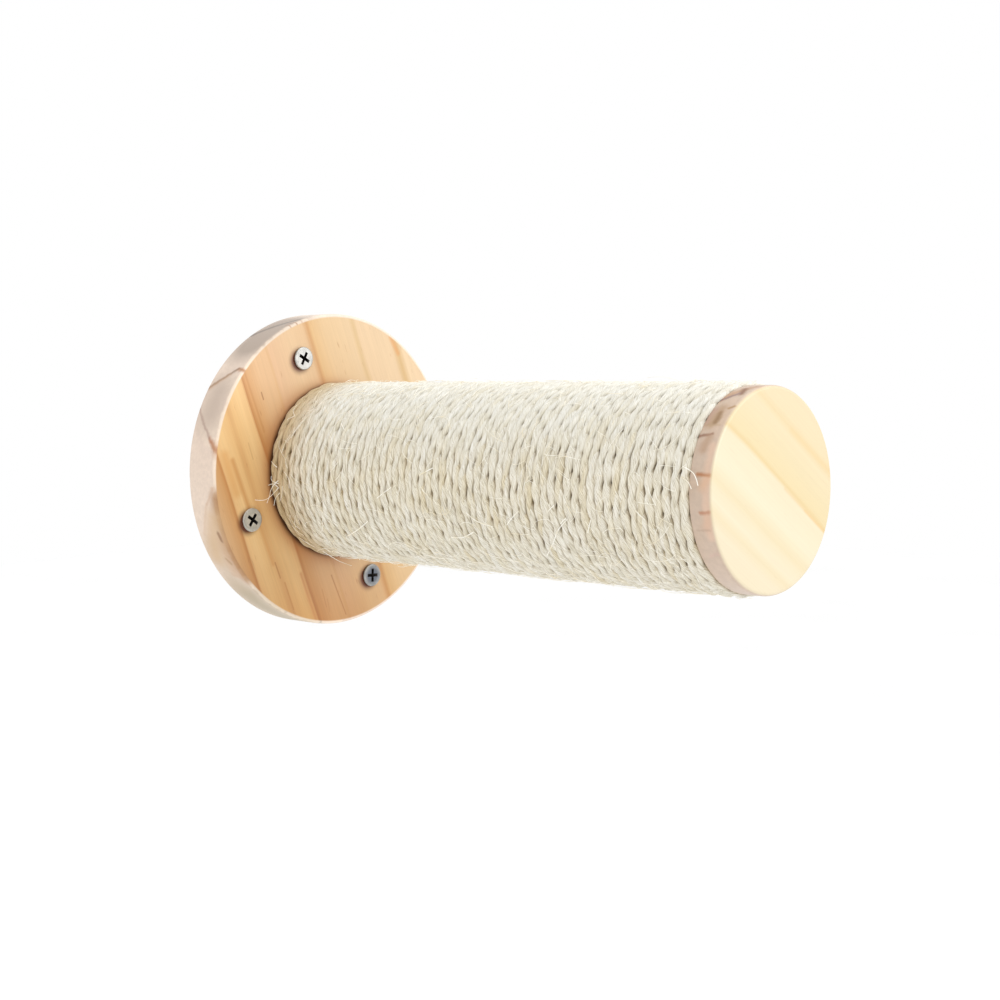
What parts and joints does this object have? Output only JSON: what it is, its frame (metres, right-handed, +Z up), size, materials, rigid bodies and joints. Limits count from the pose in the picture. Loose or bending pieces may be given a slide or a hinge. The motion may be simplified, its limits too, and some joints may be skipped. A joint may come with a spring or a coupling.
{
  "type": "cat climbing peg",
  "caption": "Wall-mounted climbing and scratching peg for cats: a round wooden disc screwed to the wall carries a straight post wound with sisal rope and closed by a thin wooden cap.",
  "frame": {"origin": "centre of the disc's back face, which lies on the wall", "axes": "+Y into the wall, so the post points along -Y; +Z up; +X to the right of someone facing the wall"},
  "size_m": [0.12, 0.236, 0.12],
  "materials": {
    "disc_pine": "satin clear coat",
    "core_pine": "sawn and sanded",
    "cap_pine": "satin clear coat",
    "dowel_beech": "plain",
    "sisal": "rough twisted fibre",
    "zinc_steel": "bright zinc"
  },
  "bodies": {
    "root": {"wall_disc": "disc_pine", "post_core": "core_pine", "end_cap": "cap_pine", "wall_screws": "zinc_steel", "core_screws": "zinc_steel", "cap_dowels": "dowel_beech", "rope_near_wall": "sisal", "rope_middle": "sisal", "rope_near_cap": "sisal"}
  },
  "joints": []
}
